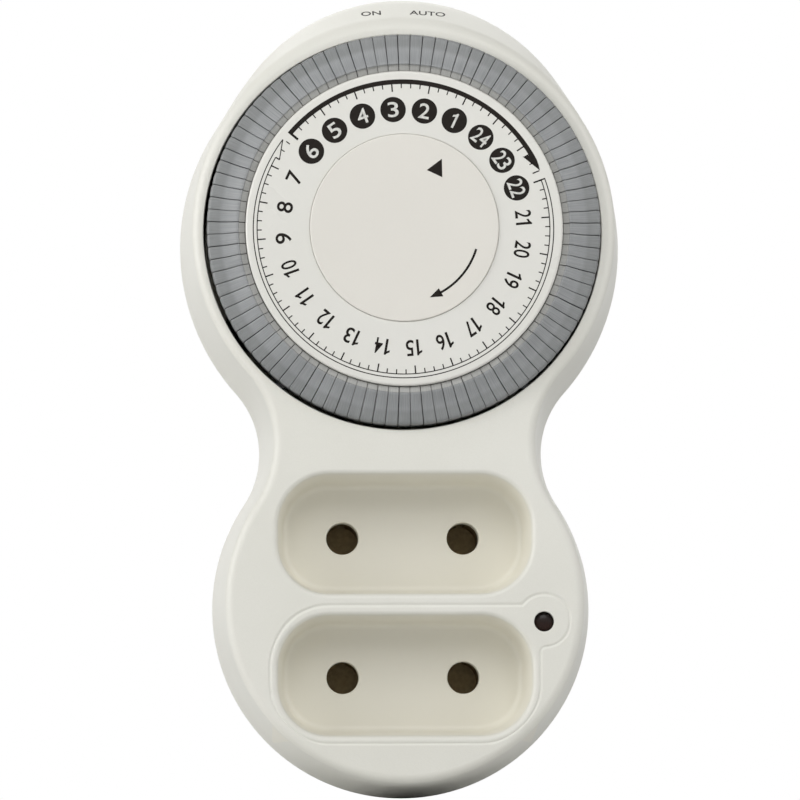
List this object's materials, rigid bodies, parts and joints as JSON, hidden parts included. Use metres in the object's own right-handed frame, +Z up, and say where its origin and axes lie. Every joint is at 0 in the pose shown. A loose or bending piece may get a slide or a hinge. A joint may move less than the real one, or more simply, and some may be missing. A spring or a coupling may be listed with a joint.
{
  "type": "plug-in timer switch",
  "caption": "Plug-in mechanical timer switch with a day dial ringed by push-down trippers above stacked socket wells, a slide switch on the top end and plug pins at the back.",
  "frame": {"origin": "midway between the two plug pins, on the end face of the plug boss, where the wall socket's floor meets it", "axes": "+Z up from the socket wells to the dial, +Y along the plug pins away from the face, +X to the right of someone who faces the dial"},
  "size_m": [0.0706, 0.0745, 0.1273],
  "materials": {
    "housing_white": "moulded, satin",
    "disc_white": "smooth, printed",
    "tripper_grey": "moulded, satin",
    "ivory": "moulded",
    "lens": "translucent",
    "lamp_glass": null,
    "tan": null,
    "black": null,
    "ferrite": null,
    "copper": "enamelled winding",
    "steel": null,
    "nickel": "nickel plated",
    "silver": null,
    "brass": null
  },
  "bodies": {
    "case": {"front_housing": "housing_white", "rear_housing": "housing_white", "housing_screws": "steel", "plug_pins": "nickel", "socket_contacts": "brass", "neutral_bar": "brass", "switched_bar": "brass", "live_bar": "brass", "lamp_lens": "lens", "neon_lamp": "lamp_glass", "lamp_resistor": "tan", "lamp_leads": "steel", "mechanism_plate": "ivory", "plate_screws": "steel", "dial_axle": "steel", "centre_cap": "disc_white", "idler_arbor": "steel", "lever_pin": "steel", "motor_can": "steel", "motor_cover": "steel", "motor_coil": "copper", "motor_leads": "black", "contact_blade": "brass", "moving_contact": "silver", "fixed_contact": "silver"},
    "dial": {"number_disc": "disc_white", "tripper_carrier": "ivory", "dial_gear": "ivory"},
    "idler": {"idler_gear": "ivory"},
    "pinion": {"motor_pinion": "ivory"},
    "rotor": {"motor_rotor": "ferrite"},
    "lever": {"switch_lever": "ivory"},
    "override": {"override_slider": "ivory", "override_knob": "housing_white"},
    "trippers_hour_01": {"trippers_hour_01": "tripper_grey"},
    "trippers_hour_02": {"trippers_hour_02": "tripper_grey"},
    "trippers_hour_03": {"trippers_hour_03": "tripper_grey"},
    "trippers_hour_04": {"trippers_hour_04": "tripper_grey"},
    "trippers_hour_05": {"trippers_hour_05": "tripper_grey"},
    "trippers_hour_06": {"trippers_hour_06": "tripper_grey"},
    "trippers_hour_07": {"trippers_hour_07": "tripper_grey"},
    "trippers_hour_08": {"trippers_hour_08": "tripper_grey"},
    "trippers_hour_09": {"trippers_hour_09": "tripper_grey"},
    "trippers_hour_10": {"trippers_hour_10": "tripper_grey"},
    "trippers_hour_11": {"trippers_hour_11": "tripper_grey"},
    "trippers_hour_12": {"trippers_hour_12": "tripper_grey"},
    "trippers_hour_13": {"trippers_hour_13": "tripper_grey"},
    "trippers_hour_14": {"trippers_hour_14": "tripper_grey"},
    "trippers_hour_15": {"trippers_hour_15": "tripper_grey"},
    "trippers_hour_16": {"trippers_hour_16": "tripper_grey"},
    "trippers_hour_17": {"trippers_hour_17": "tripper_grey"},
    "trippers_hour_18": {"trippers_hour_18": "tripper_grey"},
    "trippers_hour_19": {"trippers_hour_19": "tripper_grey"},
    "trippers_hour_20": {"trippers_hour_20": "tripper_grey"},
    "trippers_hour_21": {"trippers_hour_21": "tripper_grey"},
    "trippers_hour_22": {"trippers_hour_22": "tripper_grey"},
    "trippers_hour_23": {"trippers_hour_23": "tripper_grey"},
    "trippers_hour_24": {"trippers_hour_24": "tripper_grey"}
  },
  "joints": [
    {"name": "dial_turn", "type": "hinge", "parent": "case", "child": "dial", "pos_m": [0, -0.0526, 0.0581], "axis": [0, 1, 0], "continuous": true},
    {"name": "idler_turn", "type": "hinge", "parent": "case", "child": "idler", "pos_m": [0, -0.037, 0.0397], "axis": [0, 1, 0], "continuous": true},
    {"name": "pinion_turn", "type": "hinge", "parent": "case", "child": "pinion", "pos_m": [-0.01149, -0.036, 0.04934], "axis": [0, 1, 0], "continuous": true},
    {"name": "rotor_spin", "type": "hinge", "parent": "case", "child": "rotor", "pos_m": [-0.008, -0.027, 0.0606], "axis": [0, 1, 0], "continuous": true},
    {"name": "override_slide", "type": "slide", "parent": "case", "child": "override", "axis": [-1, 0, 0], "range_m": [-0.004, 0]},
    {"name": "lever_pivot", "type": "hinge", "parent": "case", "child": "lever", "pos_m": [0.018, -0.0418, 0.0581], "axis": [0, 0, 1], "range_deg": [-15, 0]},
    {"name": "trippers_hour_01_push", "type": "slide", "parent": "dial", "child": "trippers_hour_01", "axis": [0, 1, 0], "range_m": [0, 0.0024]},
    {"name": "trippers_hour_02_push", "type": "slide", "parent": "dial", "child": "trippers_hour_02", "axis": [0, 1, 0], "range_m": [0, 0.0024]},
    {"name": "trippers_hour_03_push", "type": "slide", "parent": "dial", "child": "trippers_hour_03", "axis": [0, 1, 0], "range_m": [0, 0.0024]},
    {"name": "trippers_hour_04_push", "type": "slide", "parent": "dial", "child": "trippers_hour_04", "axis": [0, 1, 0], "range_m": [0, 0.0024]},
    {"name": "trippers_hour_05_push", "type": "slide", "parent": "dial", "child": "trippers_hour_05", "axis": [0, 1, 0], "range_m": [0, 0.0024]},
    {"name": "trippers_hour_06_push", "type": "slide", "parent": "dial", "child": "trippers_hour_06", "axis": [0, 1, 0], "range_m": [0, 0.0024]},
    {"name": "trippers_hour_07_push", "type": "slide", "parent": "dial", "child": "trippers_hour_07", "axis": [0, 1, 0], "range_m": [0, 0.0024]},
    {"name": "trippers_hour_08_push", "type": "slide", "parent": "dial", "child": "trippers_hour_08", "axis": [0, 1, 0], "range_m": [0, 0.0024]},
    {"name": "trippers_hour_09_push", "type": "slide", "parent": "dial", "child": "trippers_hour_09", "axis": [0, 1, 0], "range_m": [0, 0.0024]},
    {"name": "trippers_hour_10_push", "type": "slide", "parent": "dial", "child": "trippers_hour_10", "axis": [0, 1, 0], "range_m": [0, 0.0024]},
    {"name": "trippers_hour_11_push", "type": "slide", "parent": "dial", "child": "trippers_hour_11", "axis": [0, 1, 0], "range_m": [0, 0.0024]},
    {"name": "trippers_hour_12_push", "type": "slide", "parent": "dial", "child": "trippers_hour_12", "axis": [0, 1, 0], "range_m": [0, 0.0024]},
    {"name": "trippers_hour_13_push", "type": "slide", "parent": "dial", "child": "trippers_hour_13", "axis": [0, 1, 0], "range_m": [0, 0.0024]},
    {"name": "trippers_hour_14_push", "type": "slide", "parent": "dial", "child": "trippers_hour_14", "axis": [0, 1, 0], "range_m": [0, 0.0024]},
    {"name": "trippers_hour_15_push", "type": "slide", "parent": "dial", "child": "trippers_hour_15", "axis": [0, 1, 0], "range_m": [0, 0.0024]},
    {"name": "trippers_hour_16_push", "type": "slide", "parent": "dial", "child": "trippers_hour_16", "axis": [0, 1, 0], "range_m": [0, 0.0024]},
    {"name": "trippers_hour_17_push", "type": "slide", "parent": "dial", "child": "trippers_hour_17", "axis": [0, 1, 0], "range_m": [0, 0.0024]},
    {"name": "trippers_hour_18_push", "type": "slide", "parent": "dial", "child": "trippers_hour_18", "axis": [0, 1, 0], "range_m": [0, 0.0024]},
    {"name": "trippers_hour_19_push", "type": "slide", "parent": "dial", "child": "trippers_hour_19", "axis": [0, 1, 0], "range_m": [0, 0.0024]},
    {"name": "trippers_hour_20_push", "type": "slide", "parent": "dial", "child": "trippers_hour_20", "axis": [0, 1, 0], "range_m": [0, 0.0024]},
    {"name": "trippers_hour_21_push", "type": "slide", "parent": "dial", "child": "trippers_hour_21", "axis": [0, 1, 0], "range_m": [0, 0.0024]},
    {"name": "trippers_hour_22_push", "type": "slide", "parent": "dial", "child": "trippers_hour_22", "axis": [0, 1, 0], "range_m": [0, 0.0024]},
    {"name": "trippers_hour_23_push", "type": "slide", "parent": "dial", "child": "trippers_hour_23", "axis": [0, 1, 0], "range_m": [0, 0.0024]},
    {"name": "trippers_hour_24_push", "type": "slide", "parent": "dial", "child": "trippers_hour_24", "axis": [0, 1, 0], "range_m": [0, 0.0024]}
  ],
  "couplings": [
    {"joint": "idler_turn", "follows": "dial_turn", "ratio": -3.6},
    {"joint": "pinion_turn", "follows": "dial_turn", "ratio": 14.4},
    {"joint": "lever_pivot", "follows": "override_slide", "rad_per_m": 65.45}
  ]
}
